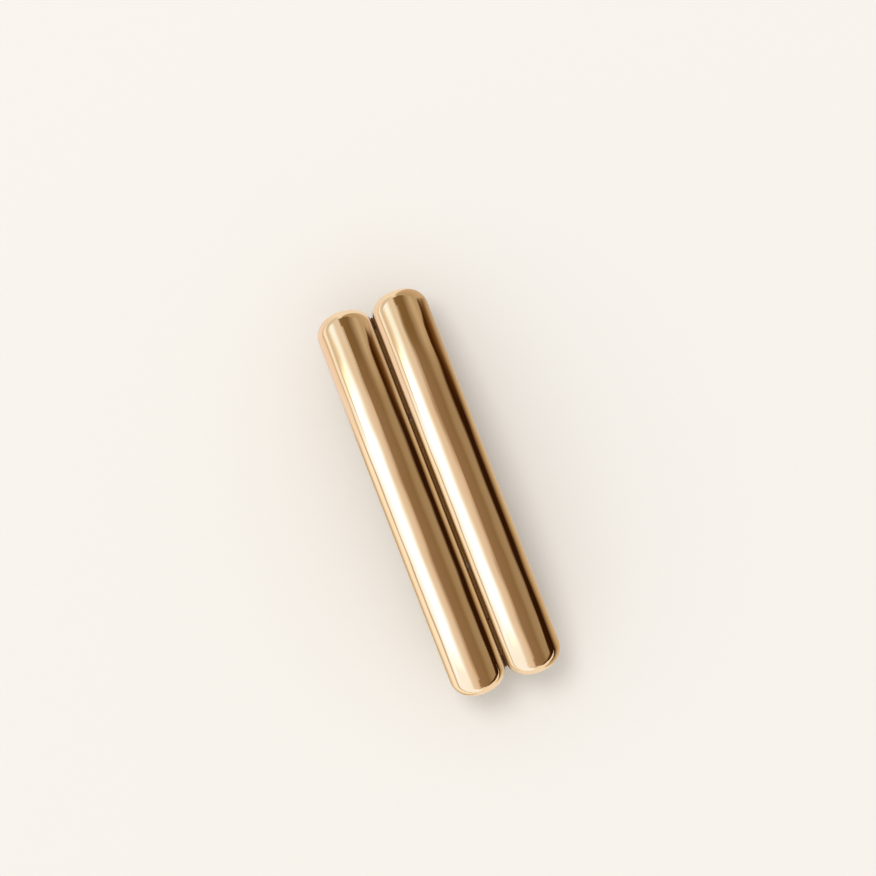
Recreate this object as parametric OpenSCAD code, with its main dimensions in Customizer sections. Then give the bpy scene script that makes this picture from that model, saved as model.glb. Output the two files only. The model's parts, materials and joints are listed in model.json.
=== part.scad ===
// Hair clip: two polished arched tubes, side by side, on a sprung clasp of the French kind.
// It lies on its clasp with the tubes up. X runs along it, Y across it and Z up from the surface below.
// Curved pieces are drawn round the arch axis, a line along Y under the clip, and then lowered.

/* [Tubes] */
// Length of the clip over its rounded ends
clip_l = 92.5; // [84:0.5:105]
// Outside diameter of a tube
tube_d = 13; // [11:0.1:15]
// Wall of a tube
tube_wall = 0.5; // [0.3:0.05:1]
// Gap between the two tubes
tube_gap = 0.3; // [0.2:0.05:0.8]
// How far each end of the arch leans down from level, in degrees
end_lean = 20; // [15:0.5:25]

/* [End caps] */
// Radius that rounds the end of a cap
cap_round = 4.5; // [2:0.1:5]
// Straight skirt of a cap, between its seam and its round end
cap_skirt = 0.5; // [0.2:0.1:2]
// Wall of a cap
cap_wall = 0.6; // [0.4:0.05:1]
// Length of the spigot that plugs into the tube
spigot_l = 3; // [1.5:0.1:5]
// Radial gap between the spigot and the bore, which bends away from it
spigot_fit = 0.1; // [0.06:0.01:0.2]

/* [Base plate] */
// Length of the clasp's plate
plate_l = 80; // [74:0.5:84]
// Width of the plate
plate_w = 8; // [7:0.1:10]
// Thickness of the plate
plate_t = 0.6; // [0.4:0.05:1]
// Corner radius of the plate
plate_corner = 1.2; // [0.5:0.1:2]
// Gap between the plate's edges and the tubes, which the solder bridges
solder_gap = 0.04; // [0.02:0.01:0.1]
// Diameter of the plate's sewing holes
sewing_d = 1.8; // [1:0.1:2.5]
// Distance of a sewing hole from the middle
sewing_x = 18; // [12:0.5:22]

/* [Solder] */
// Length of a solder bead
bead_l = 5; // [3:0.5:8]
// Width of a solder bead
bead_w = 1.4; // [0.8:0.1:2]
// Gap between a bead and the metal that it joins
bead_gap = 0.03; // [0.02:0.01:0.05]
// Distance from one bead to the next along the plate
bead_pitch = 18; // [12:0.5:20]

/* [Hinge] */
// Distance of the hinge pin from the end of the plate
hinge_inset = 2.5; // [2:0.1:3.5]
// Depth of the pin's centre below the plate
pin_drop = 4.8; // [4.4:0.1:6]
// Diameter of the hinge pin
pin_d = 1.6; // [1.2:0.1:1.8]
// Radial clearance of the pin in the arm's rolled eye
pin_fit = 0.05; // [0.02:0.01:0.1]
// Radial clearance of the pin in the plate's ears, where it is riveted
rivet_fit = 0.02; // [0.01:0.01:0.05]
// Thickness of an ear
ear_t = 0.6; // [0.4:0.05:0.7]
// Radius of an ear's round end
ear_r = 1.45; // [1.2:0.05:1.5]
// Width of an ear where it leaves the plate
ear_foot = 3.8; // [3:0.1:4.4]
// Radius of a pin head or rivet head
head_r = 1.15; // [0.9:0.05:1.3]
// Height of a pin head or rivet head
head_h = 0.4; // [0.2:0.05:0.6]

/* [Lock arm] */
// Width of the arm
arm_w = 6.4; // [6:0.1:6.6]
// Thickness of the arm
arm_t = 0.7; // [0.5:0.05:0.8]
// Thinning of each face of the arm's strip where it is bent
bend_thin = 0.03; // [0.02:0.01:0.05]
// Rise of the arm's arch
arm_sag = 2.2; // [1.5:0.1:2.6]
// Depth of the stiffening flanges below the arm
flange_h = 0.9; // [0.5:0.1:1.4]
// Thickness of the flanges
flange_t = 0.6; // [0.4:0.05:0.8]
// Distance from the pin to the start of the flanges
flange_start = 5; // [4:0.5:8]
// Distance from the catch back to the end of the flanges
flange_end = 5; // [4:0.5:8]
// Length of solid arm beyond the window
arm_tail = 1.6; // [1:0.1:2.4]
// Radius of the bend that turns the arm's end into a lip
lip_bend = 1.6; // [1:0.1:2]
// Lean of the lip, in degrees from level
lip_lean = 65; // [55:1:75]
// Corner radius of the lip
lip_corner = 1; // [0.5:0.1:1.2]

/* [Tension bow] */
// Width of the bow
bow_w = 4.6; // [3.6:0.1:5.6]
// Thickness of the bow
bow_t = 0.35; // [0.2:0.05:0.5]
// Rise of the bow's arch
bow_sag = 3.3; // [2.8:0.1:3.8]
// Distance from the hinge pin to the bow's hook
hook_inset = 6.5; // [5.5:0.1:8.5]
// Gap along the clip between the bow's free end and the catch
bow_end_gap = 0.6; // [0.4:0.1:5]
// Gap between the bow and the plate beside the hook
bow_seat = 0.2; // [0.1:0.05:0.4]
// Gap between the bow's free end and the plate
bow_drop = 2.3; // [2:0.1:2.8]
// Width of the hook
hook_w = 3; // [2:0.1:3.4]
// Length of the hook's foot above the plate
hook_foot = 1.6; // [1:0.1:2.4]
// Clearance round the hook
hook_fit = 0.25; // [0.15:0.05:0.4]

/* [Catch] */
// Distance of the catch tabs from the end of the plate
catch_inset = 5.5; // [5:0.1:6.5]
// Length of a catch tab along the clip
tab_l = 3; // [2:0.1:3.4]
// Thickness of the catch's spring steel
tab_t = 0.4; // [0.3:0.05:0.5]
// Distance of a tab's outer face from the middle, drawn squeezed
tab_out = 1.6; // [1.4:0.05:1.8]
// Reach of the tabs below the arm
tab_reach = 2; // [1.4:0.1:2.4]
// Width of the barb that holds the arm
barb_w = 0.45; // [0.3:0.05:0.6]
// Height of the barb's edge
barb_h = 0.25; // [0.15:0.05:0.4]
// Gap between the barb and the underside of the arm
barb_gap = 0.15; // [0.1:0.05:0.3]
// Gap between the barb, drawn squeezed, and the edge of the arm's window
window_fit = 0.1; // [0.06:0.02:0.2]
// Gap between a tab and the window at each end
window_play = 0.5; // [0.4:0.05:0.8]
// Width of the catch's base where the rivet holds it
catch_w = 4; // [3.4:0.1:5]
// Length of that part of the base
catch_l = 4; // [3.6:0.1:4.4]
// Gap between the catch and the plate
catch_gap = 0.03; // [0.02:0.01:0.06]
// Gap between the catch's base and a tab
bend_gap = 0.06; // [0.04:0.01:0.1]
// Radius of the catch's rivet
rivet_r = 0.6; // [0.4:0.05:0.8]

/* [Hidden] */
$fn = 240;
gold = "#e3c591";
steel = "#b7b9bb";
left = 1;
right = -1;
bead_places = [-1.5, -0.5, 0.5, 1.5];
head_top_share = 0.6;
foot_share = 0.5;
curl = 270;
bend_overlap = 7;
bow_overrun = 1;

// Tubes and arch
tube_r = tube_d / 2;
tube_y = (tube_d + tube_gap) / 2;
cap_side_r = tube_r - cap_round;
bend_r = (clip_l / 2 - cap_round - cap_skirt * cos(end_lean)) / sin(end_lean) - cap_side_r;

// Plate, which lies in the valley between the tubes
function tube_under(y, extra = 0) = bend_r - sqrt((tube_r + extra) ^ 2 - (tube_y - y) ^ 2);
plate_top = tube_under(plate_w / 2) - solder_gap;
plate_under = plate_top - plate_t;
function plate_lean(x) = asin(x / plate_under);
function plate_z(x) = sqrt(plate_under ^ 2 - x ^ 2);

// Places along the clip, from its middle
hinge_x = plate_l / 2 - hinge_inset;
hook_x = hinge_x - hook_inset;
catch_x = plate_l / 2 - catch_inset;
bow_end_x = catch_x - tab_l / 2 - catch_l - bow_end_gap;

// Hinge
pin_r = pin_d / 2;
pin_arch_r = plate_under - pin_drop;
pin_lean = asin(hinge_x / pin_arch_r);
pin = [-hinge_x, sqrt(pin_arch_r ^ 2 - hinge_x ^ 2)];
bent_t = arm_t - 2 * bend_thin;
eye_r = pin_r + pin_fit + bent_t;
eye_mid = eye_r - bent_t / 2;
floor_z = pin[1] - eye_r;

// Lock arm, an arc whose hinge end is tangent to its eye
window_l = tab_l + 2 * window_play;
window_w = 2 * (tab_out + barb_w + window_fit);
arm_chord = hinge_x + catch_x + window_l / 2 + arm_tail;
arm_lean = 2 * atan(2 * arm_sag / arm_chord);
arm_r = (arm_chord ^ 2 / 4 + arm_sag ^ 2) / (2 * arm_sag);
arm_start = pin + eye_mid * [-sin(arm_lean), cos(arm_lean)];
arm_end = arm_start + [arm_chord, 0];
arm_mid = arm_start + [arm_chord / 2, arm_sag - arm_r];
arm_under = arm_r - arm_t / 2;
function arm_at(x) = asin((x - arm_mid[0]) / arm_r);
lip_mid = arm_end - lip_bend * [sin(arm_lean), cos(arm_lean)];
lip_t = bent_t - 2 * bend_thin;
lip_l = (lip_mid[1] - floor_z + (lip_bend - lip_t / 2) * cos(lip_lean)) / sin(lip_lean);

// Tension bow, an arc between its hook and its free end
bow_start = [-hook_x, plate_z(hook_x) - bow_seat - bow_t / 2];
bow_end = [bow_end_x, plate_z(bow_end_x) - bow_drop - bow_t / 2];
bow_chord = norm(bow_end - bow_start);
bow_tilt = atan2(bow_start[1] - bow_end[1], bow_end[0] - bow_start[0]);
bow_lean = 2 * atan(2 * bow_sag / bow_chord);
bow_r = (bow_chord ^ 2 / 4 + bow_sag ^ 2) / (2 * bow_sag);

// Catch
rivet_x = catch_x - tab_l / 2 - catch_l / 2;
tab_in = tab_out - tab_t;
catch_top = plate_under - catch_gap;
ledge = arm_t / 2 + barb_gap;
tab_tip = arm_t / 2 + tab_reach;

module lower() translate([0, 0, -floor_z]) children();

// Sweeps an outline of [distance from the arch axis, place across] from one lean to another
module arch(from, to) rotate([90, 0, 0]) rotate_extrude(start = 90 - to, angle = to - from) children();

// Stands a piece on the circle round the arch axis, at a lean
module at_lean(lean, radius) rotate([0, lean, 0]) translate([0, 0, radius]) children();

// Moves from the arch axis to a point given as [x, z]
module at_point(p) translate([p[0], 0, p[1]]) children();

// A strip's outline: its inner radius, thickness and width
module strip(radius, thick, width) translate([radius, -width / 2]) square([thick, width]);

// A flat cheek standing along the clip, drawn in x and z, on both sides of the middle
module both_cheeks(outer, thick) {
  for (y = [outer, thick - outer])
    translate([0, y, 0]) rotate([90, 0, 0]) linear_extrude(thick) children();
}

module rounded(l, w, r) {
  square([l - 2 * r, w], center = true);
  square([l, w - 2 * r], center = true);
  for (x = [r - l / 2, l / 2 - r], y = [r - w / 2, w / 2 - r])
    translate([x, y]) circle(r = r);
}

module hole(x, r) at_lean(plate_lean(x), plate_under) cylinder(r = r, h = 4 * plate_t, center = true);

// Half the section of a round-ended plug
module plug_half(r, l, end_r) {
  square([r - end_r, l]);
  square([r, l - end_r]);
  translate([r - end_r, l - end_r]) intersection() {
    circle(r = end_r);
    square([end_r, end_r]);
  }
}

module tube(side) {
  color(gold) lower() translate([0, side * tube_y, 0])
    arch(-end_lean, end_lean) translate([bend_r, 0]) difference() {
      circle(r = tube_r);
      circle(r = tube_r - tube_wall);
    }
}

module cap_half() {
  cap_l = cap_skirt + cap_round;
  spigot_r = tube_r - tube_wall - spigot_fit;
  difference() {
    plug_half(tube_r, cap_l, cap_round);
    plug_half(tube_r - cap_wall, cap_l - cap_wall, cap_round - cap_wall);
  }
  translate([spigot_r - cap_wall, -spigot_l]) square([cap_wall, spigot_l + cap_skirt]);
  translate([spigot_r - cap_wall, 0]) square([tube_r - spigot_r + cap_wall / 2, cap_skirt]);
}

module end_cap(side, turn) {
  color(gold) lower() translate([0, side * tube_y, 0]) rotate([0, 0, turn])
    at_lean(end_lean, bend_r) rotate([0, 90, 0]) rotate_extrude() cap_half();
}

module ear_outline() {
  translate([0, -pin_drop]) circle(r = ear_r);
  polygon([
    [-ear_r, -pin_drop], [ear_r, -pin_drop],
    [ear_foot / 2, plate_t / 2], [-ear_foot / 2, plate_t / 2]
  ]);
}

module base_plate() {
  color(steel) lower() difference() {
    union() {
      intersection() {
        arch(-plate_lean(plate_l / 2 + plate_w), plate_lean(plate_l / 2 + plate_w))
          strip(plate_under, plate_t, plate_w);
        linear_extrude(bend_r) rounded(plate_l, plate_w, plate_corner);
      }
      at_lean(-pin_lean, plate_under) both_cheeks(plate_w / 2, ear_t) ear_outline();
    }
    at_point(pin) rotate([90, 0, 0]) cylinder(r = pin_r + rivet_fit, h = 2 * plate_w, center = true);
    for (x = [-sewing_x, sewing_x])
      hole(x, sewing_d / 2);
    hole(rivet_x, rivet_r + rivet_fit);
    at_lean(-plate_lean(hook_x), plate_under)
      cube([bow_t + 2 * hook_fit, hook_w + 2 * hook_fit, 4 * plate_t], center = true);
  }
}

module solder_beads() {
  outer = plate_w / 2 + bead_gap;
  color(gold) lower() for (side = [left, right], place = bead_places) {
    x = place * bead_pitch;
    arch(plate_lean(x - bead_l / 2), plate_lean(x + bead_l / 2)) difference() {
      polygon([
        [plate_under, side * outer],
        [bend_r - tube_r / 2, side * outer],
        [bend_r - tube_r / 2, side * (outer + bead_w)],
        [tube_under(outer + bead_w, bead_gap), side * (outer + bead_w)]
      ]);
      translate([bend_r, side * tube_y]) circle(r = tube_r + bead_gap);
    }
  }
}

module head(y, turn) {
  translate([0, y, 0]) rotate([turn, 0, 0]) cylinder(r1 = head_r, r2 = head_r * head_top_share, h = head_h);
}

module hinge_pin() {
  color(steel) lower() at_point(pin) {
    rotate([90, 0, 0]) cylinder(r = pin_r, h = plate_w, center = true);
    head(plate_w / 2, -90);
    head(-plate_w / 2, 90);
  }
}

module lip() {
  at_point(lip_mid) {
    arch(arm_lean - bend_overlap, lip_lean) strip(lip_bend - bent_t / 2, bent_t, arm_w);
    at_lean(lip_lean, lip_bend - lip_t / 2) linear_extrude(lip_t) intersection() {
      rounded(2 * lip_l, arm_w, lip_corner);
      translate([-lip_t / 2, -arm_w / 2]) square([lip_l + lip_t, arm_w]);
    }
  }
}

module flanges() {
  from = arm_at(flange_start - hinge_x);
  to = arm_at(catch_x - flange_end);
  arch(from, to) for (y = [-arm_w / 2, arm_w / 2 - flange_t])
    translate([arm_under - flange_h, y]) square([flange_h + arm_t / 2, flange_t]);
}

module lock_arm() {
  color(steel) lower() {
    difference() {
      at_point(arm_mid) {
        arch(-arm_lean, arm_lean) strip(arm_under, arm_t, arm_w);
        flanges();
      }
      at_point(arm_mid) at_lean(arm_at(catch_x), arm_r)
        cube([window_l, window_w, 4 * arm_t], center = true);
    }
    at_point(pin) arch(-arm_lean - curl, bend_overlap - arm_lean) strip(eye_r - bent_t, bent_t, arm_w);
    lip();
  }
}

module bow_plan() {
  translate([-hook_x - bow_t / 2, -bow_w / 2]) square([bow_end_x - bow_w / 2 + hook_x, bow_w]);
  translate([bow_end_x - bow_w / 2, 0]) circle(r = bow_w / 2);
}

module hook() {
  leg_h = bow_seat + bow_t + plate_t + hook_fit + bow_t;
  foot_l = hook_foot + bow_t / 2;
  at_lean(-plate_lean(hook_x), plate_under) {
    translate([-bow_t / 2, -hook_w / 2, -bow_seat - bow_t]) cube([bow_t, hook_w, leg_h]);
    translate([-foot_l, -hook_w / 2, plate_t + hook_fit]) cube([foot_l, hook_w, bow_t]);
  }
}

module tension_bow() {
  color(steel) lower() {
    intersection() {
      at_point((bow_start + bow_end) / 2) rotate([0, bow_tilt, 0])
        translate([0, 0, bow_sag - bow_r])
          arch(-bow_lean - bow_overrun, bow_lean + bow_overrun) strip(bow_r - bow_t / 2, bow_t, bow_w);
      linear_extrude(bend_r) bow_plan();
    }
    hook();
  }
}

module catch_base() {
  rivet_from = plate_lean(catch_x - tab_l / 2 - catch_l);
  tabs_from = plate_lean(catch_x - tab_l / 2 - window_play);
  tabs_to = plate_lean(catch_x + tab_l / 2);
  color(steel) lower() difference() {
    union() {
      arch(rivet_from, tabs_from) strip(catch_top - tab_t, tab_t, catch_w);
      arch(rivet_from, tabs_to) strip(catch_top - tab_t, tab_t, 2 * (tab_in - bend_gap));
    }
    hole(rivet_x, rivet_r + rivet_fit);
  }
}

module catch_rivet() {
  grip = plate_t + 2 * catch_gap + tab_t + rivet_fit;
  color(steel) lower() at_lean(plate_lean(rivet_x), plate_top + rivet_fit) {
    rotate([180, 0, 0]) cylinder(r = rivet_r, h = grip);
    cylinder(r1 = head_r, r2 = head_r * head_top_share, h = head_h);
    translate([0, 0, -grip]) rotate([180, 0, 0])
      cylinder(r1 = head_r, r2 = head_r * head_top_share, h = head_h);
  }
}

module catch_tab(side) {
  top = pin_drop + eye_r;
  color(steel) lower() intersection() {
    at_point(arm_mid) at_lean(arm_at(catch_x), arm_r)
      translate([-tab_l / 2, 0, 0]) rotate([90, 0, 90]) linear_extrude(tab_l) polygon([
        [side * tab_in, top],
        [side * tab_out, top],
        [side * tab_out, -ledge],
        [side * (tab_out + barb_w), -ledge],
        [side * (tab_out + barb_w), -ledge - barb_h],
        [side * (tab_in + tab_t * foot_share), -tab_tip],
        [side * tab_in, -tab_tip]
      ]);
    rotate([90, 0, 0]) cylinder(r = catch_top - bend_gap, h = plate_w, center = true);
  }
}

tube(left);  // left_tube
tube(right);  // right_tube
end_cap(left, 180);  // left_cap_hinge_end
end_cap(left, 0);  // left_cap_catch_end
end_cap(right, 180);  // right_cap_hinge_end
end_cap(right, 0);  // right_cap_catch_end
base_plate();
solder_beads();
hinge_pin();
lock_arm();
tension_bow();
catch_base();
catch_rivet();
catch_tab(left);  // catch_tab_left
catch_tab(right);  // catch_tab_right
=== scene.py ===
# %% [markdown]
# # A gold-toned hair clip
# The clip has two arched tubes, polished and gold-plated, on a sprung steel clasp. From above only
# the tubes show, so the picture is nearly all reflection. That makes the studio around the clip as
# important as the metal itself. The clasp shows in the side views and when the clip is opened.
#
# The solids come from the CAD model. This script adds the light, the camera, the finishes and the
# solder, whose uneven form is easier to make here.

# %% Load the frame
import json
import math

import bpy
from mathutils import Matrix, Vector


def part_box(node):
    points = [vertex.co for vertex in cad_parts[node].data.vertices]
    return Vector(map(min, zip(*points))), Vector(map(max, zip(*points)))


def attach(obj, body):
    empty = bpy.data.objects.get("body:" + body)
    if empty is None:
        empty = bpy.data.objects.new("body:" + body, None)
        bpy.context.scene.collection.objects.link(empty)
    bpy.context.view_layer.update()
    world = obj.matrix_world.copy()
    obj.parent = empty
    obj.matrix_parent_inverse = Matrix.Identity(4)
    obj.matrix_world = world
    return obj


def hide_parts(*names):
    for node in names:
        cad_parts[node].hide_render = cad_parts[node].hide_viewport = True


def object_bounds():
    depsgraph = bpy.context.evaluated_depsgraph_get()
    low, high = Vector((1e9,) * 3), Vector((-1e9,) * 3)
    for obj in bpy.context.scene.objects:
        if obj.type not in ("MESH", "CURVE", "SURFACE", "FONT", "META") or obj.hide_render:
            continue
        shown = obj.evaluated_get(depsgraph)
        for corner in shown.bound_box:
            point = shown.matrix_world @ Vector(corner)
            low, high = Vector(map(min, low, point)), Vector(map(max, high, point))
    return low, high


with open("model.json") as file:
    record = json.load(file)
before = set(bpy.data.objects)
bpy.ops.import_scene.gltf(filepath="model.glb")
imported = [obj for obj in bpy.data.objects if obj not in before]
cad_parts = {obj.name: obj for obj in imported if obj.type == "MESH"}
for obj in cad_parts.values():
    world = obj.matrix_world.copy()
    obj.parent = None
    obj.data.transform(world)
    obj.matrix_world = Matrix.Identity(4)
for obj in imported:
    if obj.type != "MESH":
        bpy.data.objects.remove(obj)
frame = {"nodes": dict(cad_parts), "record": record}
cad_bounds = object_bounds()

scene = bpy.context.scene
scene.view_settings.view_transform = "Standard"
MM = 0.001
low, high = (Vector(corner) for corner in cad_bounds)
print("CAD box in mm:", [round(v / MM, 2) for v in low], [round(v / MM, 2) for v in high])

# %% [markdown]
# ## The camera
# The photograph looks straight down from well above, so the far side of a tube never shows and
# lines along the clip stay parallel. A long lens from two metres up does the same. The clip's hinge
# end points to the lower right, 21.2 degrees off the picture's upright. The picture is 197.6 mm
# wide at the level where the tubes are widest, and its middle lies a little above the clip's.

# %% Camera
PICTURE_WIDTH = 197.6 * MM
CAMERA_DISTANCE = 2.0
CLIP_TURN = math.radians(21.2)
SENSOR = 36.0
CLIP_START = 0.01
TUBE_RADIUS = 6.5 * MM
AIM_ABOVE_CLIP = 12.25 * MM
AIM_LEFT_OF_CLIP = 0.2 * MM

camera_data = bpy.data.cameras.new("long_lens")
camera_data.sensor_width = SENSOR
camera_data.lens = SENSOR * CAMERA_DISTANCE / PICTURE_WIDTH
camera_data.clip_start = CLIP_START
camera = bpy.data.objects.new("camera", camera_data)
scene.collection.objects.link(camera)
scene.camera = camera

picture_up = Vector((math.cos(CLIP_TURN), -math.sin(CLIP_TURN), 0))
picture_right = Vector((-math.sin(CLIP_TURN), -math.cos(CLIP_TURN), 0))
widest_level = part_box("left_tube")[1].z - TUBE_RADIUS
aim = picture_up * AIM_ABOVE_CLIP - picture_right * AIM_LEFT_OF_CLIP
camera.location = aim + Vector((0, 0, widest_level + CAMERA_DISTANCE))
camera.rotation_euler = (0, 0, -math.pi / 2 - CLIP_TURN)
print("lens", round(camera_data.lens, 1), "mm, camera at", [round(v, 3) for v in camera.location])

# %% [markdown]
# ## Colours and nodes
# Colours are picked on screen as hex values, which are sRGB. Shaders add and multiply light, so
# they need linear values, and one function turns one into the other. A second function adds a
# shader node with its settings and links, so that each material below reads as a list of what it is
# made of.
#
# A Mix node has its own sockets for each kind of value. For numbers they are 2, 3 and output 0, and
# for colours 6, 7 and output 2. Socket 0 is how far it goes from the first to the second.

# %% Two helpers for materials
def linear(hex_colour):
    parts = [int(hex_colour[i:i + 2], 16) / 255 for i in (1, 3, 5)]
    return tuple(c / 12.92 if c <= 0.04045 else ((c + 0.055) / 1.055) ** 2.4
                 for c in parts) + (1.0,)


def add_node(tree, kind, values=None, links=None, **settings):
    node = tree.nodes.new(kind)
    for name, value in settings.items():
        setattr(node, name, value)
    for socket, value in (values or {}).items():
        node.inputs[socket].default_value = value
    for socket, source in (links or {}).items():
        tree.links.new(source, node.inputs[socket])
    return node


print("mid grey in linear light:", round(linear("#808080")[0], 3))

# %% [markdown]
# ## The room
# The world is plain and pale. Matt things get soft light of a plain level from all sides, and the
# camera and the metal see a pale backdrop about as bright as the floor.

# %% World
ROOM_LIGHT = 0.9

world = bpy.data.worlds.new("pale_room")
scene.world = world
world.use_nodes = True
room = world.node_tree
room.nodes.clear()
soft_light = add_node(room, "ShaderNodeBackground",
                      {"Color": linear("#f8f6f3"), "Strength": ROOM_LIGHT})
backdrop = add_node(room, "ShaderNodeBackground", {"Color": linear("#e8e4dd"), "Strength": 1.0})
ray = add_node(room, "ShaderNodeLightPath")
camera_or_metal = add_node(
    room, "ShaderNodeMath", operation="MAXIMUM",
    links={0: ray.outputs["Is Camera Ray"], 1: ray.outputs["Is Glossy Ray"]})
seen = add_node(
    room, "ShaderNodeMath", operation="MAXIMUM",
    links={0: camera_or_metal.outputs[0], 1: ray.outputs["Is Transmission Ray"]})
mixed = add_node(room, "ShaderNodeMixShader",
                 links={0: seen.outputs[0], 1: soft_light.outputs[0], 2: backdrop.outputs[0]})
add_node(room, "ShaderNodeOutputWorld", links={"Surface": mixed.outputs[0]})
print("room light for matt things:", ROOM_LIGHT)

# %% [markdown]
# ## The lamp and the floor
# One large soft lamp stands far above the upper left of the picture. It lays the soft, close shadow
# to the clip's lower right, and at that distance it lights the whole floor nearly evenly. The metal
# doesn't show it, because what the metal mirrors is built next. The floor is a plain pale sheet of
# paper, quite matt, so that at a low angle it doesn't mirror what stands on it.

# %% Lamp and floor
LAMP_DISTANCE = 4.0
LAMP_HEIGHT = math.radians(70)
LAMP_SIZE = 1.8
LAMP_POWER = 48.0
FLOOR_SIZE = 6.0

sideways = (picture_up - picture_right).normalized()
towards_lamp = sideways * math.cos(LAMP_HEIGHT) + Vector((0, 0, math.sin(LAMP_HEIGHT)))
bpy.ops.object.light_add(type="AREA", location=towards_lamp * LAMP_DISTANCE)
lamp = bpy.context.object
lamp.name = "soft_lamp"
lamp.rotation_euler = towards_lamp.to_track_quat("Z", "Y").to_euler()
lamp.data.shape = "DISK"
lamp.data.size = LAMP_SIZE
lamp.data.energy = LAMP_POWER
lamp.visible_glossy = False

bpy.ops.object.select_all(action="DESELECT")
bpy.ops.mesh.primitive_plane_add(size=FLOOR_SIZE, location=(0, 0, 0))
floor = bpy.context.object
floor.name = "floor"
paper = bpy.data.materials.new("matt_white_paper")
paper.use_nodes = True
paper_shader = paper.node_tree.nodes["Principled BSDF"]
paper_shader.inputs["Base Color"].default_value = linear("#edeae5")
paper_shader.inputs["Roughness"].default_value = 0.9
paper_shader.inputs["Specular IOR Level"].default_value = 0.0
floor.data.materials.append(paper)
print("lamp at", [round(v, 2) for v in lamp.location])

# %% [markdown]
# ## Boards painted by angle
# A polished tube is a curved mirror: each line along it shows one direction of the room. Reading
# the photograph from left to right gives what stood round the clip: a large white softbox low on
# the left, a strip of pale wall, a dark warm ceiling, a lighter board on the right and a black gap
# down to the floor. A photographer builds this as a tent of boards. Painting the world itself could
# do it too, but the world is infinitely far away, and the floor hides the low parts that show at
# the rims of the tubes. So here every board has one kind of paint, which looks up its colour by the
# angle round the clip's length, 0 being straight up and positive to the right. A second list takes
# over towards the catch end, where the softbox is dimmer and the black gap softer and browner. A
# limit holds down the softbox at the hinge end.
#
# Only mirror reflections see the boards, so they don't light anything.

# %% Colours in order of angle
SOFTBOX = 2.6
TUBE_LEVEL = 16 * MM
HINGE_END_LIMIT = "#a9b3c2"
GAP_EDGES = (math.radians(56), math.radians(64))


def colour_by_angle(tree, angle, colours):
    turn = add_node(tree, "ShaderNodeMapRange", {"From Min": -math.pi, "From Max": math.pi},
                    {"Value": angle})
    ramp = add_node(tree, "ShaderNodeValToRGB", links={"Fac": turn.outputs[0]})
    stops = ramp.color_ramp.elements
    for number, (degrees, tint) in enumerate(colours):
        stop = stops[number] if number < 2 else stops.new(1.0)
        stop.position = (degrees + 180) / 360
        stop.color = linear(tint)
    return ramp.outputs["Color"]


def fade(tree, value, start, end):
    mask = add_node(tree, "ShaderNodeMapRange", {"From Min": start, "From Max": end},
                    {"Value": value}, interpolation_type="SMOOTHSTEP")
    return mask.outputs[0]


print("the softbox is", SOFTBOX, "times as bright as white paper")

# %% [markdown]
# ## Where a spot shows on the clip
# Seen from above, a mirror shows a far spot where its surface faces halfway between that spot and
# straight up. That halfway direction gives both the angle round the tube and the lean along it, so
# a band painted by it runs straight along the tubes to their very ends.
#
# A near board is too close for that. What counts there is the place along the clip, because the
# mirrored line spreads out with the distance across. The angle is taken round the clip and turned a
# little towards the ends, where the tubes come down and lean. The black board also stands a little
# askew, so its angle is tilted from one end to the other.

# %% Far and near spots
BEND_RADIUS = 118.70 * MM
SPREAD_START = 0.5
SPREAD_GROWTH = 1 / (220 * MM)
TURN_PLACE = 37.3 * MM
WHITE_TURN = (math.radians(6.5) / TURN_PLACE ** 2, 0.0)
BLACK_TURN = (math.radians(-7.2) / TURN_PLACE ** 2, math.radians(-2.7) / TURN_PLACE)


def seen_far(tree, spot):
    direction = add_node(tree, "ShaderNodeVectorMath", links={0: spot}, operation="NORMALIZE")
    halfway = add_node(tree, "ShaderNodeVectorMath", {1: (0, 0, 1)}, {0: direction.outputs[0]},
                       operation="ADD")
    facing = add_node(tree, "ShaderNodeVectorMath", links={0: halfway.outputs[0]},
                      operation="NORMALIZE")
    axes = add_node(tree, "ShaderNodeSeparateXYZ", links={0: facing.outputs[0]})
    half_angle = add_node(tree, "ShaderNodeMath", links={0: axes.outputs["Y"]},
                          operation="ARCSINE")
    angle = add_node(tree, "ShaderNodeMath", {1: -2.0}, {0: half_angle.outputs[0]},
                     operation="MULTIPLY")
    lean = add_node(tree, "ShaderNodeMath", operation="DIVIDE",
                    links={0: axes.outputs["X"], 1: axes.outputs["Z"]})
    return angle.outputs[0], lean.outputs[0]


def seen_near(tree, spot, turn):
    axes = add_node(tree, "ShaderNodeSeparateXYZ", links={0: spot})
    rightwards = add_node(tree, "ShaderNodeMath", {1: -1.0}, {0: axes.outputs["Y"]},
                          operation="MULTIPLY")
    angle = add_node(tree, "ShaderNodeMath", operation="ARCTAN2",
                     links={0: rightwards.outputs[0], 1: axes.outputs["Z"]})
    across = add_node(tree, "ShaderNodeMath", links={0: axes.outputs["Y"]}, operation="ABSOLUTE")
    slant = add_node(tree, "ShaderNodeMath", {1: SPREAD_GROWTH, 2: SPREAD_START},
                     {0: across.outputs[0]}, operation="MULTIPLY_ADD")
    in_radii = add_node(tree, "ShaderNodeMath", {1: 1 / BEND_RADIUS}, {0: across.outputs[0]},
                        operation="MULTIPLY")
    spread = add_node(tree, "ShaderNodeMath", {2: 1.0}, operation="MULTIPLY_ADD",
                      links={0: in_radii.outputs[0], 1: slant.outputs[0]})
    along = add_node(tree, "ShaderNodeMath", operation="DIVIDE",
                     links={0: axes.outputs["X"], 1: spread.outputs[0]})
    per_metre = add_node(tree, "ShaderNodeMath", {1: turn[0], 2: turn[1]},
                         {0: along.outputs[0]}, operation="MULTIPLY_ADD")
    turned = add_node(tree, "ShaderNodeMath", operation="MULTIPLY_ADD",
                      links={0: along.outputs[0], 1: per_metre.outputs[0], 2: angle.outputs[0]})
    return turned.outputs[0], along.outputs[0]


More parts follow.
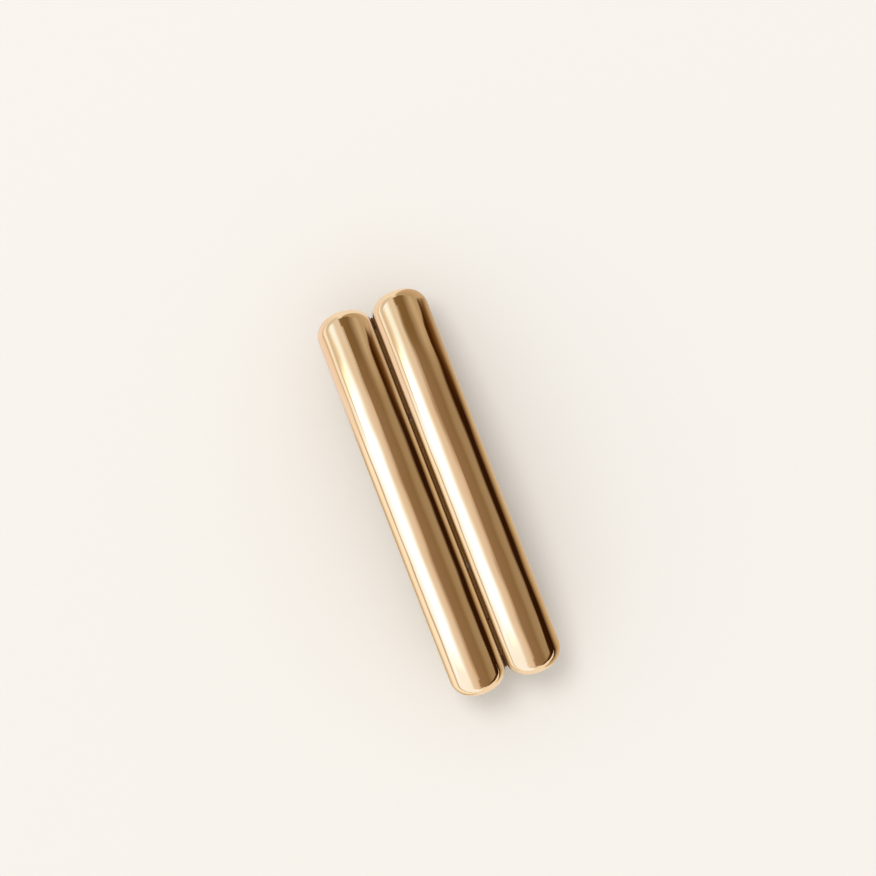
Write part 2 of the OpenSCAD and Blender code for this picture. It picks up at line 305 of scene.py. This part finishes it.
white_turn = math.degrees(WHITE_TURN[0] * TURN_PLACE ** 2)
print("white board turned by", round(white_turn, 1), "degrees at", round(TURN_PLACE / MM, 1), "mm")

# %% [markdown]
# ## One paint for all boards
# The paint mixes the two lists by the place along the clip, holds the result under the limit at the
# hinge end, and glows. The black gap stops just short of the catch end. There the paint changes
# once more, to what lies beyond the gap. Where a change starts and ends is given by the lean for
# the far tent and in millimetres along the clip for the near boards, negative towards the hinge.

# %% Paint for the boards
def board_paint(name, colours, catch_end_colours, catch_fade, hinge_fade, beyond=(), gap_end=(),
                near_turn=None):
    paint = bpy.data.materials.new(name)
    paint.use_nodes = True
    paint.cycles.emission_sampling = "NONE"
    tree = paint.node_tree
    tree.nodes.clear()
    place = add_node(tree, "ShaderNodeTexCoord")
    spot = add_node(tree, "ShaderNodeVectorMath", {1: (0, 0, TUBE_LEVEL)},
                    {0: place.outputs["Object"]}, operation="SUBTRACT")
    if near_turn is None:
        angle, along = seen_far(tree, spot.outputs[0])
    else:
        angle, along = seen_near(tree, spot.outputs[0], near_turn)
    mixed = add_node(tree, "ShaderNodeMix", data_type="RGBA",
                     links={0: fade(tree, along, *catch_fade),
                            6: colour_by_angle(tree, angle, colours),
                            7: colour_by_angle(tree, angle, catch_end_colours)})
    if beyond:
        in_gap = add_node(tree, "ShaderNodeMapRange",
                          {"From Min": GAP_EDGES[0], "From Max": GAP_EDGES[1]}, {"Value": angle})
        past_gap = add_node(tree, "ShaderNodeMath", operation="MULTIPLY",
                            links={0: in_gap.outputs[0], 1: fade(tree, along, *gap_end)})
        mixed = add_node(tree, "ShaderNodeMix", data_type="RGBA",
                         links={0: past_gap.outputs[0], 6: mixed.outputs[2],
                                7: colour_by_angle(tree, angle, beyond)})
    limit = add_node(tree, "ShaderNodeMix", {6: linear("#ffffff"), 7: linear(HINGE_END_LIMIT)},
                     {0: fade(tree, along, *hinge_fade)}, data_type="RGBA")
    dimmed = add_node(tree, "ShaderNodeVectorMath", operation="MINIMUM",
                      links={0: mixed.outputs[2], 1: limit.outputs[2]})
    glow = add_node(tree, "ShaderNodeEmission", {"Strength": SOFTBOX}, {"Color": dimmed.outputs[0]})
    add_node(tree, "ShaderNodeOutputMaterial", links={"Surface": glow.outputs[0]})
    print(name, "is painted with", len(colours), "and", len(catch_end_colours), "colours")
    return paint


def only_mirrored(board):
    board.visible_camera = False
    board.visible_diffuse = False
    board.visible_shadow = False


# %% [markdown]
# ## The tent
# The walls and ceiling are one half pipe over the clip, far enough away for both tubes to see it
# alike. It is a cylinder with its lower half cut off. Each entry of a list is an angle in degrees
# and the colour there. These angles and colours, and those of the two boards, were worked out from
# the bands that the photograph shows on the gold.

# %% Walls and ceiling
TENT_RADIUS = 1.0
TENT_LENGTH = 16.0
BOARD_LIFT = 1 * MM
WALLS = [
    (-90, "#aabbd4"), (-80, "#b4c4e0"), (-70, "#ffffff"), (-51, "#ffffff"), (-45, "#b4c2d8"),
    (-39, "#a9b2c2"), (-30, "#9a9692"), (-24, "#979290"), (-12, "#938a82"), (-5, "#625240"),
    (4, "#5f4f3f"), (34, "#584934"), (48, "#685c4a"), (66, "#6c6050"), (78, "#1c0c02"),
    (90, "#1c0c02"),
]
WALLS_AT_CATCH_END = [
    (-90, "#a9aeb2"), (-83, "#a9aeb2"), (-76, "#8c877f"), (-72, "#8c877f"), (-64, "#9b968e"),
    (-57, "#a9acae"), (-52, "#a9b8c8"), (-42, "#a9b8c8"), (-33, "#9c9a96"), (-28, "#949290"),
    (-13, "#989490"), (-5, "#54442c"), (26, "#50402a"), (54, "#827868"), (72, "#7a6c5e"),
    (83, "#281200"), (90, "#281200"),
]
WALLS_BEYOND_GAP = [(54, "#827868"), (90, "#726656")]

bpy.ops.object.select_all(action="DESELECT")
bpy.ops.mesh.primitive_cylinder_add(vertices=96, radius=TENT_RADIUS, depth=TENT_LENGTH,
                                    end_fill_type="NOTHING", rotation=(0, math.pi / 2, 0))
tent = bpy.context.object
tent.name = "tent"
bpy.ops.object.transform_apply(location=False, rotation=True, scale=False)
bpy.ops.object.mode_set(mode="EDIT")
bpy.ops.mesh.select_all(action="SELECT")
bpy.ops.mesh.bisect(plane_co=(0, 0, BOARD_LIFT), plane_no=(0, 0, 1), clear_inner=True)
bpy.ops.object.mode_set(mode="OBJECT")
tent.data.materials.append(board_paint(
    "tent_walls", WALLS, WALLS_AT_CATCH_END, catch_fade=(0.19, 0.35), hinge_fade=(-0.26, -0.38),
    beyond=WALLS_BEYOND_GAP, gap_end=(0.343, 0.378)))
only_mirrored(tent)

# %% [markdown]
# ## Two boards near the clip
# A white board stands on the floor at the left and a black one at the right. Each is a strip with a
# foot that turns in along the floor. The foot is extruded from a part of the strip's lower edge,
# which two cuts mark off.

# %% White board and black board
BOARD_DISTANCE = 110 * MM
BOARD_HEIGHT = 40 * MM
BOARD_END = 500 * MM
FOOT_DEPTH = 96 * MM
FOOT_END = 450 * MM
BLACK_FOOT_START = -78 * MM
# The dark stops from -98.6 to -96.4 degrees, and from -95 to -93 at the catch end, are a painted
# shadow line under the lower edge of the softbox.
WHITE_BOARD = [
    (-128, "#7f6b4e"), (-119, "#8b7f6b"), (-113.6, "#a09b8f"), (-109.8, "#aaaaa8"),
    (-100.6, "#aaaaaa"), (-98.6, "#7e725e"), (-96.4, "#7e725e"), (-94.2, "#a5aab4"),
    (-90, "#a9b9d0"), (-82, "#aebfd8"),
]
WHITE_BOARD_AT_CATCH_END = [
    (-128, "#958c86"), (-112, "#a39c9a"), (-98, "#9f9895"), (-95, "#867b72"), (-93, "#867b72"),
    (-90, "#a9acae"), (-82, "#a9aeb2"), (-76, "#8e8a84"),
]
# From about 100 degrees on, in both black lists, the browns on the board's foot are painted shade:
# they stand for the floor in the clip's shadow, which the right rims mirror.
BLACK_BOARD = [
    (70, "#2c1a08"), (76, "#1c0c02"), (97.6, "#1c0c02"), (103.6, "#584936"), (109, "#74664f"),
    (115, "#84755f"), (140, "#948878"),
]
BLACK_BOARD_AT_CATCH_END = [
    (64, "#786c5a"), (70, "#2c1a08"), (79, "#241003"), (84.6, "#2a1502"), (89.5, "#38230a"),
    (94, "#3f2a14"), (98.5, "#4a361f"), (102.8, "#5b4937"), (106.7, "#6c5c4c"), (112, "#7c6e5c"),
    (140, "#948878"),
]
BOARD_BEYOND_GAP = [(70, "#786c5a"), (140, "#8c7c6a")]


def bent_board(name, side, foot, paint):
    bpy.ops.object.select_all(action="DESELECT")
    bpy.ops.mesh.primitive_plane_add(
        size=2 * BOARD_END, rotation=(math.pi / 2, 0, 0),
        location=(0, side * BOARD_DISTANCE, BOARD_LIFT + BOARD_HEIGHT / 2))
    board = bpy.context.object
    board.name = name
    board.scale = (1.0, BOARD_HEIGHT / (2 * BOARD_END), 1.0)
    bpy.ops.object.transform_apply(location=True, rotation=True, scale=True)
    bpy.ops.object.mode_set(mode="EDIT")
    for cut in foot:
        bpy.ops.mesh.select_all(action="SELECT")
        bpy.ops.mesh.bisect(plane_co=(cut, 0, 0), plane_no=(1, 0, 0))
    bpy.ops.mesh.select_all(action="DESELECT")
    bpy.ops.object.mode_set(mode="OBJECT")
    for edge in board.data.edges:
        ends = [board.data.vertices[v].co for v in edge.vertices]
        edge.select = all(end.z < BOARD_LIFT + MM and foot[0] - MM < end.x < foot[1] + MM
                          for end in ends)
    bpy.ops.object.mode_set(mode="EDIT")
    bpy.ops.mesh.extrude_region_move(
        TRANSFORM_OT_translate={"value": (0, -side * FOOT_DEPTH, 0)})
    bpy.ops.object.mode_set(mode="OBJECT")
    board.data.materials.append(paint)
    only_mirrored(board)


NEAR_HINGE_FADE = (-31 * MM, -42 * MM)
white_paint = board_paint(
    "white_board", WHITE_BOARD, WHITE_BOARD_AT_CATCH_END, near_turn=WHITE_TURN,
    catch_fade=(10 * MM, 28 * MM), hinge_fade=NEAR_HINGE_FADE)
black_paint = board_paint(
    "black_board", BLACK_BOARD, BLACK_BOARD_AT_CATCH_END, near_turn=BLACK_TURN,
    catch_fade=(10 * MM, 34 * MM), hinge_fade=NEAR_HINGE_FADE,
    beyond=BOARD_BEYOND_GAP, gap_end=(38.4 * MM, 42.3 * MM))
bent_board("white_board", 1, (-FOOT_END, FOOT_END), white_paint)
bent_board("black_board", -1, (BLACK_FOOT_START, FOOT_END), black_paint)

# %% [markdown]
# ## Which mirrors see which
# In the photograph the inner side of the left tube carries the same black band and rim as the outer
# side of the right tube, so the two tubes don't mirror each other. Ray visibility does that here:
# the gold nodes are left out of mirror reflections, and everything else stays in them.

# %% Gold nodes out of the reflections
gold_nodes = [part["node"] for part in frame["record"]["subparts"]
              if part["material_slot"] == "polished_gold"]
for name in gold_nodes:
    frame["nodes"][name].visible_glossy = False
print(len(gold_nodes), "gold nodes don't show in mirrors")

# %% [markdown]
# ## Coordinates along the arch
# The tubes and the plate are bent round one axis, a line along Y under the clip. Polishing lines
# follow that bend. So a pattern is laid out by the distance along the arch, the place across it and
# the distance from the axis, which a few nodes work out from Object coordinates. A pattern's cells
# are given in real sizes, in that order.

# %% Arch coordinates
ARCH_AXIS = widest_level - BEND_RADIUS


def start_material(name):
    material = bpy.data.materials.new(name)
    material.use_nodes = True
    material.node_tree.nodes.clear()
    return material, material.node_tree


def arch_coordinates(tree):
    place = add_node(tree, "ShaderNodeTexCoord")
    from_axis = add_node(tree, "ShaderNodeVectorMath", {1: (0, 0, ARCH_AXIS)},
                         {0: place.outputs["Object"]}, operation="SUBTRACT")
    axes = add_node(tree, "ShaderNodeSeparateXYZ", links={0: from_axis.outputs[0]})
    lean = add_node(tree, "ShaderNodeMath", operation="ARCTAN2",
                    links={0: axes.outputs["X"], 1: axes.outputs["Z"]})
    along = add_node(tree, "ShaderNodeMath", {1: BEND_RADIUS}, {0: lean.outputs[0]},
                     operation="MULTIPLY")
    flat = add_node(tree, "ShaderNodeVectorMath", {1: (1, 0, 1)}, {0: from_axis.outputs[0]},
                    operation="MULTIPLY")
    radius = add_node(tree, "ShaderNodeVectorMath", links={0: flat.outputs[0]}, operation="LENGTH")
    together = add_node(tree, "ShaderNodeCombineXYZ",
                        links={"X": along.outputs[0], "Y": axes.outputs["Y"],
                               "Z": radius.outputs["Value"]})
    return together.outputs[0]


def uneven(tree, coordinates, cells, detail=2.0):
    sizes = add_node(tree, "ShaderNodeMapping", {"Scale": tuple(1 / (size * MM) for size in cells)},
                     {"Vector": coordinates})
    noise = add_node(tree, "ShaderNodeTexNoise", {"Scale": 1.0, "Detail": detail},
                     {"Vector": sizes.outputs[0]})
    return noise.outputs["Fac"]


print("arch axis at z =", round(ARCH_AXIS / MM, 2), "mm")

# %% [markdown]
# ## Painted shade between the tubes
# Where the two tubes meet they shade each other, and their rims mirror each other dark. That shade
# is painted here as a dull brown strip, which isn't a mirror. It could be a thin strip of mesh, but
# it is thinner than any mesh worth making. So a mask by the distance from the middle turns the
# metal dull and brown. The strip lies a little to the right, as it does in the photograph.

# %% A mask and the painted shade
GROOVE_SHADE_EDGES = (0.82 * MM, 0.45 * MM)
GROOVE_SHADE_TO_THE_RIGHT = 0.11 * MM
GROOVE_SHADE_SHEEN = 0.15


def near_middle(tree, coordinates, outside, inside, to_the_right=0.0):
    place = add_node(tree, "ShaderNodeSeparateXYZ", links={0: coordinates})
    across = add_node(tree, "ShaderNodeMath", {1: to_the_right}, {0: place.outputs["Y"]},
                      operation="ADD")
    off_middle = add_node(tree, "ShaderNodeMath", links={0: across.outputs[0]},
                          operation="ABSOLUTE")
    return fade(tree, off_middle.outputs[0], outside, inside)


def metal_with_painted_groove_shade(tree, coordinates, colour, roughness, normal):
    # Painted shade: the strip between the tubes turns dull and dark brown.
    groove = near_middle(tree, coordinates, *GROOVE_SHADE_EDGES, GROOVE_SHADE_TO_THE_RIGHT)
    brown = add_node(tree, "ShaderNodeMix", {7: linear("#6e4209")}, {0: groove, 6: colour},
                     data_type="RGBA")
    dull = add_node(tree, "ShaderNodeMix", {3: 0.7}, {0: groove, 2: roughness},
                    data_type="FLOAT")
    bare = add_node(tree, "ShaderNodeMath", {0: 1.0}, {1: groove}, operation="SUBTRACT")
    metal = add_node(tree, "ShaderNodeBsdfPrincipled", {"Specular IOR Level": GROOVE_SHADE_SHEEN},
                     {"Base Color": brown.outputs[2], "Metallic": bare.outputs[0],
                      "Roughness": dull.outputs[0], "Normal": normal})
    add_node(tree, "ShaderNodeOutputMaterial", links={"Surface": metal.outputs[0]})


# The width printed here is that of the painted shade between the tubes.
print("the strip of painted shade between the tubes is", round(2 * GROOVE_SHADE_EDGES[0] / MM, 2), "mm wide")

# %% [markdown]
# ## Gold
# The tubes and caps are brass, polished on a buff and plated with a thin gold. The buff leaves a
# bright skin that is never quite flat: the edges of the reflections waver a little. It also leaves
# fine lines along the tube. Handling leaves faint duller patches, and the gold is a shade redder
# where it is thin.

# %% Polished gold
SKIN_HEIGHT = 0.25 * MM
BUFFING_DEPTH = 0.003 * MM

gold, tree = start_material("polished_gold_plate_on_brass")
arch = arch_coordinates(tree)
skin = add_node(tree, "ShaderNodeBump", {"Strength": 1.0, "Distance": SKIN_HEIGHT},
                {"Height": uneven(tree, arch, (14, 7, 7), detail=1.0)})
# Real buffing lines are about 0.02 mm apart. They are drawn ten times as coarse, so that they show.
buffed = add_node(tree, "ShaderNodeBump", {"Strength": 1.0, "Distance": BUFFING_DEPTH},
                  {"Height": uneven(tree, arch, (9, 0.2, 0.2)), "Normal": skin.outputs[0]})
shine = add_node(tree, "ShaderNodeMapRange",
                 {"From Min": 0.35, "From Max": 0.7, "To Min": 0.055, "To Max": 0.1},
                 {"Value": uneven(tree, arch, (6, 4, 4), detail=4.0)})
plating = add_node(tree, "ShaderNodeMapRange", {"From Min": 0.35, "From Max": 0.65},
                   {"Value": uneven(tree, arch, (11, 6, 6), detail=3.0)})
bright = add_node(tree, "ShaderNodeMix", {6: linear("#fbdfb9"), 7: linear("#f9dab0")},
                  {0: plating.outputs[0]}, data_type="RGBA")
# The gold gets the painted shade between the tubes here.
metal_with_painted_groove_shade(tree, arch, bright.outputs[2], shine.outputs[0], buffed.outputs[0])
print("gold has", len(tree.nodes), "nodes")

# %% [markdown]
# ## Nickel-plated steel
# The clasp is pressed from steel sheet, tumbled in a barrel of stones and nickel-plated. Tumbling
# leaves a soft, slightly hazy shine with fine marks in all directions, and it rounds each edge by a
# few hundredths of a millimetre. A real bevel that small would only add faces, so the Bevel node
# turns the normals instead. Where its normal departs from the true one there is an edge, and the
# same difference makes that edge brighter, as handling does.
#
# The spring parts are another steel: strip rolled thin and hard. It is duller and a little darker,
# with fine lines along the strip. Both finishes come from one recipe, with other marks.

# %% Two steels
EDGE_RADIUS = 0.06 * MM
EDGE_POLISH = 0.06


def plated_steel(name, pale, dark, worn, shine, marks):
    material, tree = start_material(name)
    arch = arch_coordinates(tree)
    rounded = add_node(tree, "ShaderNodeBevel", {"Radius": EDGE_RADIUS}, samples=8)
    true = add_node(tree, "ShaderNodeNewGeometry")
    agreement = add_node(tree, "ShaderNodeVectorMath", operation="DOT_PRODUCT",
                         links={0: rounded.outputs[0], 1: true.outputs["Normal"]})
    edge = add_node(tree, "ShaderNodeMapRange", {"From Min": 0.995, "From Max": 0.92},
                    {"Value": agreement.outputs["Value"]})
    normal = rounded.outputs[0]
    for cells, depth in marks:
        mark = add_node(tree, "ShaderNodeBump", {"Strength": 1.0, "Distance": depth * MM},
                        {"Height": uneven(tree, arch, cells), "Normal": normal})
        normal = mark.outputs[0]
    cloudy = add_node(tree, "ShaderNodeMapRange", {"From Min": 0.32, "From Max": 0.68},
                      {"Value": uneven(tree, arch, (4, 2.5, 2.5), detail=5.0)})
    sheet = add_node(tree, "ShaderNodeMix", {6: linear(pale), 7: linear(dark)},
                     {0: cloudy.outputs[0]}, data_type="RGBA")
    dulled = add_node(tree, "ShaderNodeMix", {2: shine[0], 3: shine[1]}, {0: cloudy.outputs[0]},
                      data_type="FLOAT")
    colour = add_node(tree, "ShaderNodeMix", {7: linear(worn)},
                      {0: edge.outputs[0], 6: sheet.outputs[2]}, data_type="RGBA")
    roughness = add_node(tree, "ShaderNodeMix", {3: shine[0] - EDGE_POLISH},
                         {0: edge.outputs[0], 2: dulled.outputs[0]}, data_type="FLOAT")
    metal = add_node(tree, "ShaderNodeBsdfPrincipled", {"Metallic": 1.0},
                     {"Base Color": colour.outputs[2], "Roughness": roughness.outputs[0],
                      "Normal": normal})
    add_node(tree, "ShaderNodeOutputMaterial", links={"Surface": metal.outputs[0]})
    print(name, "has", len(tree.nodes), "nodes")
    return material


# Tumbling marks are 0.01 to 0.05 mm wide, and are drawn five times as wide, so that they show.
pressed_steel = plated_steel(
    "nickel_plated_pressed_steel", pale="#d0cbc2", dark="#bfb9af", worn="#e6e2d9",
    shine=(0.24, 0.36),
    marks=[((3, 2.4, 2.4), 0.02), ((1.4, 0.2, 0.2), 0.005), ((0.2, 1.4, 1.4), 0.005)])
# Rolling lines are finer still, and are drawn at 0.16 mm.
spring_steel = plated_steel(
    "nickel_plated_rolled_spring_steel", pale="#bbb6ad", dark="#a9a399", worn="#d9d4ca",
    shine=(0.3, 0.42),
    marks=[((7, 3, 3), 0.02), ((9, 0.16, 0.16), 0.005)])

# %% [markdown]
# ## Painted shade under the gap
# Under the gap between the tubes the base plate lies in their shade, and with it the rivet's head
# and the bow's hook, which stand up through the plate. That shade is painted: they keep their
# steel, and a dull, rough gold-brown, such as the tubes above would mirror, is mixed in over a
# narrow strip, from the plate's upper face on up.

# %% Painted shade strip on two steels
PLATE_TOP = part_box("base_plate")[1].z - ARCH_AXIS
PAINTED_SHADE_LEVELS = (PLATE_TOP - 0.25 * MM, PLATE_TOP - 0.1 * MM)
PAINTED_SHADE_EDGES = (2.0 * MM, 1.0 * MM)


def painted_shade_under_tubes(steel):
    material = steel.copy()
    material.name = steel.name + "_painted_shade_under_tubes"
    tree = material.node_tree
    arch = arch_coordinates(tree)
    place = add_node(tree, "ShaderNodeSeparateXYZ", links={0: arch})
    upper_face = add_node(tree, "ShaderNodeMapRange",
                          {"From Min": PAINTED_SHADE_LEVELS[0], "From Max": PAINTED_SHADE_LEVELS[1]},
                          {"Value": place.outputs["Z"]})
    strip = add_node(tree, "ShaderNodeMath", operation="MULTIPLY",
                     links={0: near_middle(tree, arch, *PAINTED_SHADE_EDGES), 1: upper_face.outputs[0]})
    metal = next(node for node in tree.nodes if node.type == "BSDF_PRINCIPLED")
    # Painted shade: the strip under the gap turns dull, rough gold-brown.
    for socket, shade_value, data_type, inputs in (
            ("Base Color", linear("#8e6b34"), "RGBA", (6, 7, 2)),
            ("Roughness", 0.5, "FLOAT", (2, 3, 0))):
        steel_value = metal.inputs[socket].links[0].from_socket
        shade_mix = add_node(tree, "ShaderNodeMix", {inputs[1]: shade_value},
                           {0: strip.outputs[0], inputs[0]: steel_value}, data_type=data_type)
        tree.links.new(shade_mix.outputs[inputs[2]], metal.inputs[socket])
    print(material.name, "starts", round(PAINTED_SHADE_LEVELS[0] / MM, 2), "mm from the arch axis")
    return material


pressed_steel_with_painted_shade = painted_shade_under_tubes(pressed_steel)
spring_steel_with_painted_shade = painted_shade_under_tubes(spring_steel)

# %% [markdown]
# ## Solder
# Beads of soft solder hold the plate to the tubes. They were laid by hand and plated over with the
# tubes: satin, uneven and a little browner than the gold, with darker flux left in the hollows.

# %% Gilded solder
SOLDER_UNEVENNESS = 0.04 * MM

solder, tree = start_material("soft_solder_under_gold_plate")
arch = arch_coordinates(tree)
lumps = uneven(tree, arch, (1.3, 1.3, 1.3), detail=0.0)
lumpy = add_node(tree, "ShaderNodeBump", {"Strength": 1.0, "Distance": SOLDER_UNEVENNESS},
                 {"Height": lumps})
hollow = add_node(tree, "ShaderNodeMapRange", {"From Min": 0.5, "From Max": 0.3},
                  {"Value": lumps})
colour = add_node(tree, "ShaderNodeMix", {6: linear("#efd2a4"), 7: linear("#c99d66")},
                  {0: hollow.outputs[0]}, data_type="RGBA")
roughness = add_node(tree, "ShaderNodeMix", {2: 0.22, 3: 0.36}, {0: hollow.outputs[0]},
                     data_type="FLOAT")
# The solder gets the same painted shade between the tubes.
metal_with_painted_groove_shade(tree, arch, colour.outputs[2], roughness.outputs[0], lumpy.outputs[0])
print("solder has", len(tree.nodes), "nodes")

# %% [markdown]
# ## The solder beads
# Molten solder draws itself into the corner between two parts and sets as a swollen, tapering bead,
# thick where the iron touched it. The CAD beads fill that corner exactly but with sharp edges. A
# voxel remesh of them could be smoothed, but so thin a wedge comes out ragged. So one bead is
# shaped from a ball: drawn out along the plate, and pinched in three steps towards the end where it
# ran thin. It lies against the edge of the plate and wets the tube, as the real one does.

# %% One bead
BEAD_SIZE = Vector((2.5, 0.75, 0.45)) * MM
RUN_OUT = Vector((1.0, 0.9, 0.85))
RUN_OUT_STARTS = (0.1, 0.35, 0.6)

bpy.ops.object.select_all(action="DESELECT")
bpy.ops.mesh.primitive_uv_sphere_add(segments=16, ring_count=12, radius=1.0,
                                     rotation=(0, math.pi / 2, 0))
bead = bpy.context.object
bead.name = "soldered_bead"
bpy.ops.object.transform_apply(location=False, rotation=True, scale=False)
bpy.ops.object.mode_set(mode="EDIT")
bpy.ops.mesh.select_all(action="SELECT")
bpy.ops.transform.resize(value=BEAD_SIZE, center_override=(0, 0, 0))
for start_share in RUN_OUT_STARTS:
    bpy.ops.mesh.select_all(action="DESELECT")
    bpy.ops.object.mode_set(mode="OBJECT")
    for vertex in bead.data.vertices:
        vertex.select = vertex.co.x > start_share * BEAD_SIZE.x
    bpy.ops.object.mode_set(mode="EDIT")
    bpy.ops.transform.resize(value=RUN_OUT, center_override=(0, 0, 0))
bpy.ops.object.mode_set(mode="OBJECT")
print("one bead has", len(bead.data.polygons), "faces")

# %% [markdown]
# ## Eight beads and two seams
# The bead is copied to its eight places along the edges of the plate, turned to lie along the arch,
# every second one the other way round. Two narrow copies close the gap between the tubes beyond the
# ends of the plate, where solder ran in. The copies are joined, rounded with a subdivision and
# swelled a little by a cloud pattern. It runs through all of them, so no two beads come out alike.

# %% Beads and seams in their places
BEAD_PLACES = (-27 * MM, -9 * MM, 9 * MM, 27 * MM)
BEAD_OFF_MIDDLE = 4.6 * MM
BEAD_LEVEL = 112.2 * MM
LUMP_SIZE = 1.3 * MM
LUMP_HEIGHT = 0.16 * MM
SEAM_PLACE = 41.0 * MM
SEAM_LEVEL = BEND_RADIUS - 1.4 * MM
SEAM_SHARES = (0.62, 0.8, 1.3)


def copy_of_bead(along, off_middle, level, half_turn, shares=(1, 1, 1)):
    lean = math.asin(along / level)
    copy = bpy.data.objects.new("bead_copy", bead.data.copy())
    scene.collection.objects.link(copy)
    place = Vector((along, off_middle, ARCH_AXIS + level * math.cos(lean)))
    copy.matrix_world = (Matrix.Translation(place) @ Matrix.Rotation(lean, 4, "Y")
                         @ Matrix.Rotation(half_turn, 4, "Z")
                         @ Matrix.Diagonal(Vector(shares).to_4d()))
    return copy


copies = [copy_of_bead(along, side * BEAD_OFF_MIDDLE, BEAD_LEVEL,
                       math.pi if number % 2 == (side > 0) else 0)
          for number, along in enumerate(BEAD_PLACES) for side in (-1, 1)]
copies += [copy_of_bead(end * SEAM_PLACE, 0, SEAM_LEVEL, math.pi if end < 0 else 0, SEAM_SHARES)
           for end in (-1, 1)]
bpy.data.objects.remove(bead)
bpy.ops.object.select_all(action="DESELECT")
for copy in copies:
    copy.select_set(True)
bpy.context.view_layer.objects.active = copies[0]
bpy.ops.object.transform_apply(location=True, rotation=True, scale=True)
bpy.ops.object.join()
beads = bpy.context.object
beads.name = "soldered_beads"

rounded = beads.modifiers.new("rounded", "SUBSURF")
rounded.levels = rounded.render_levels = 1
cloud = bpy.data.textures.new("solder_lumps", "CLOUDS")
cloud.noise_scale = LUMP_SIZE
cloud.noise_depth = 0
swollen = beads.modifiers.new("swollen", "DISPLACE")
swollen.texture = cloud
swollen.texture_coords = "LOCAL"
swollen.mid_level = 0.5
swollen.strength = LUMP_HEIGHT
for modifier in ("rounded", "swollen"):
    bpy.ops.object.modifier_apply(modifier=modifier)
bpy.ops.object.shade_smooth()
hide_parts("solder_beads")
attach(beads, "ornament")
print("the beads have", len(beads.data.polygons), "faces")

# %% [markdown]
# ## Each node its finish
# The record names a material slot for every node. The finish of a slot goes to all its nodes, and
# the three that reach into the groove get its version with painted shade under the tubes.

# %% Finishes on the nodes
slot_finish = {"polished_gold": gold, "gilt_solder": solder, "plated_steel": pressed_steel,
               "spring_steel": spring_steel}
finish_of = {part["node"]: slot_finish[part["material_slot"]]
             for part in frame["record"]["subparts"]}
finish_of["base_plate"] = finish_of["catch_rivet"] = pressed_steel_with_painted_shade
finish_of["tension_bow"] = spring_steel_with_painted_shade
dressed = [(frame["nodes"][name], finish) for name, finish in finish_of.items()]
for piece, finish in dressed + [(beads, solder)]:
    piece.data.materials.clear()
    piece.data.materials.append(finish)
print(len(dressed), "nodes and the solder beads have their finish")
